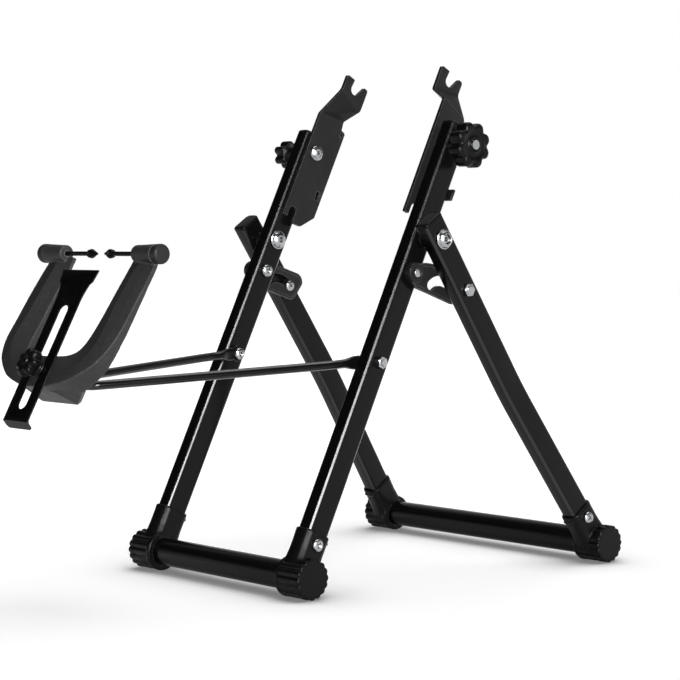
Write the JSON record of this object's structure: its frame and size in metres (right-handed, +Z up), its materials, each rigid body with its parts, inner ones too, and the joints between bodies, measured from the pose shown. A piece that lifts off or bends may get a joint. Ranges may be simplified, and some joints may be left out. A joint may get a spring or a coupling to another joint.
{
  "type": "wheel truing stand",
  "caption": "Folding A-frame wheel truing stand with adjustable dropouts, a swinging gauge bar, a yoke with screw feelers and a sliding radial gauge.",
  "frame": {"origin": "on the ground plane, at the middle of the stand's footprint, gauge and feet included", "axes": "+X to the stand's right across the crossbars, +Y to the rear, away from the gauge yoke, +Z up"},
  "size_m": [0.332, 0.5918, 0.4808],
  "materials": {
    "black_paint": "satin black powder coat",
    "black_plastic": "fine matte moulded",
    "zinc": "bright zinc plate",
    "black_sheet": "satin black coated sheet"
  },
  "bodies": {
    "front_frame": {"foot_front_left": "black_plastic", "foot_front_right": "black_plastic", "foot_screw_front_left": "zinc", "foot_screw_front_right": "zinc", "front_crossbar": "black_paint", "front_leg_cap_left": "black_plastic", "front_leg_cap_right": "black_plastic", "front_leg_left": "black_paint", "front_leg_right": "black_paint", "gauge_bolt_left": "zinc", "gauge_bolt_right": "zinc", "gauge_nut_left": "zinc", "gauge_nut_right": "zinc", "lock_bolt_left": "zinc", "lock_bolt_right": "zinc", "pivot_bolt_left": "zinc", "pivot_bolt_right": "zinc", "pivot_nut_left": "zinc", "pivot_nut_right": "zinc", "pivot_spacer_left": "black_plastic", "pivot_spacer_right": "black_plastic"},
    "rear_frame": {"foot_rear_left": "black_plastic", "foot_rear_right": "black_plastic", "foot_screw_rear_left": "zinc", "foot_screw_rear_right": "zinc", "rear_crossbar": "black_paint", "rear_leg_cap_left": "black_plastic", "rear_leg_cap_right": "black_plastic", "rear_leg_left": "black_paint", "rear_leg_right": "black_paint", "stay_bolt_left": "zinc", "stay_bolt_right": "zinc", "stay_spacer_left": "black_plastic", "stay_spacer_right": "black_plastic"},
    "stay_arm_left": {"stay_left": "black_sheet"},
    "stay_arm_right": {"stay_right": "black_sheet"},
    "dropout_left": {"dropout_plate_left": "black_sheet", "dropout_screw_left": "zinc"},
    "dropout_right": {"dropout_plate_right": "black_sheet", "dropout_screw_right": "zinc"},
    "knob_left": {"dropout_knob_left": "black_plastic"},
    "knob_right": {"dropout_knob_right": "black_plastic"},
    "gauge_arm": {"gauge_bar": "black_paint"},
    "yoke_body": {"yoke": "black_plastic"},
    "radial_gauge": {"gauge_plate": "black_sheet"},
    "clamp": {"clamp_knob": "black_plastic", "clamp_screw": "zinc", "clamp_washer": "zinc"},
    "feeler_slide_left": {"feeler_left": "black_sheet"},
    "feeler_slide_right": {"feeler_right": "black_sheet"},
    "feeler_turn_left": {"feeler_knob_left": "black_plastic"},
    "feeler_turn_right": {"feeler_knob_right": "black_plastic"}
  },
  "joints": [
    {"name": "rear_fold", "type": "hinge", "parent": "front_frame", "child": "rear_frame", "pos_m": [0, 0.07381, 0.3153], "axis": [1, 0, 0], "range_deg": [-55, 0]},
    {"name": "gauge_swing", "type": "hinge", "parent": "front_frame", "child": "gauge_arm", "pos_m": [0, 0.01914, 0.204], "axis": [1, 0, 0], "range_deg": [-60, 20]},
    {"name": "yoke_tilt", "type": "hinge", "parent": "gauge_arm", "child": "yoke_body", "pos_m": [0, -0.24094, 0.19128], "axis": [1, 0, 0], "range_deg": [-35, 60]},
    {"name": "gauge_slide", "type": "slide", "parent": "yoke_body", "child": "radial_gauge", "axis": [0, 0.4741, 0.8805], "range_m": [-0.045, 0.03]},
    {"name": "clamp_turn", "type": "hinge", "parent": "yoke_body", "child": "clamp", "pos_m": [0, -0.24166, 0.18996], "axis": [0, -0.8805, 0.4741], "range_deg": [-720, 0]},
    {"name": "stay_fold_left", "type": "hinge", "parent": "front_frame", "child": "stay_arm_left", "pos_m": [0, 0.05882, 0.28478], "axis": [1, 0, 0], "range_deg": [-72, 0]},
    {"name": "dropout_shift_left", "type": "slide", "parent": "front_frame", "child": "dropout_left", "axis": [-1, 0, 0], "range_m": [-0.015, 0.005]},
    {"name": "knob_turn_left", "type": "hinge", "parent": "front_frame", "child": "knob_left", "pos_m": [0, 0.11658, 0.40236], "axis": [-1, 0, 0], "range_deg": [-3601, 1201]},
    {"name": "feeler_shift_left", "type": "slide", "parent": "yoke_body", "child": "feeler_slide_left", "axis": [-1, 0, 0], "range_m": [0, 0.02]},
    {"name": "feeler_spin_left", "type": "hinge", "parent": "feeler_slide_left", "child": "feeler_turn_left", "pos_m": [0, -0.20706, 0.30251], "axis": [-1, 0, 0], "range_deg": [-1, 5761]},
    {"name": "stay_fold_right", "type": "hinge", "parent": "front_frame", "child": "stay_arm_right", "pos_m": [0, 0.05882, 0.28478], "axis": [1, 0, 0], "range_deg": [-72, 0]},
    {"name": "dropout_shift_right", "type": "slide", "parent": "front_frame", "child": "dropout_right", "axis": [1, 0, 0], "range_m": [-0.015, 0.005]},
    {"name": "knob_turn_right", "type": "hinge", "parent": "front_frame", "child": "knob_right", "pos_m": [0, 0.11658, 0.40236], "axis": [1, 0, 0], "range_deg": [-3601, 1201]},
    {"name": "feeler_shift_right", "type": "slide", "parent": "yoke_body", "child": "feeler_slide_right", "axis": [1, 0, 0], "range_m": [0, 0.02]},
    {"name": "feeler_spin_right", "type": "hinge", "parent": "feeler_slide_right", "child": "feeler_turn_right", "pos_m": [0, -0.20706, 0.30251], "axis": [1, 0, 0], "range_deg": [-1, 5761]}
  ],
  "couplings": [
    {"joint": "stay_fold_left", "follows": "rear_fold", "ratio": 1.3},
    {"joint": "knob_turn_left", "follows": "dropout_shift_left", "rad_per_m": 4188.8},
    {"joint": "feeler_spin_left", "follows": "feeler_shift_left", "rad_per_m": 5026.5},
    {"joint": "stay_fold_right", "follows": "rear_fold", "ratio": 1.3},
    {"joint": "knob_turn_right", "follows": "dropout_shift_right", "rad_per_m": 4188.8},
    {"joint": "feeler_spin_right", "follows": "feeler_shift_right", "rad_per_m": 5026.5}
  ]
}
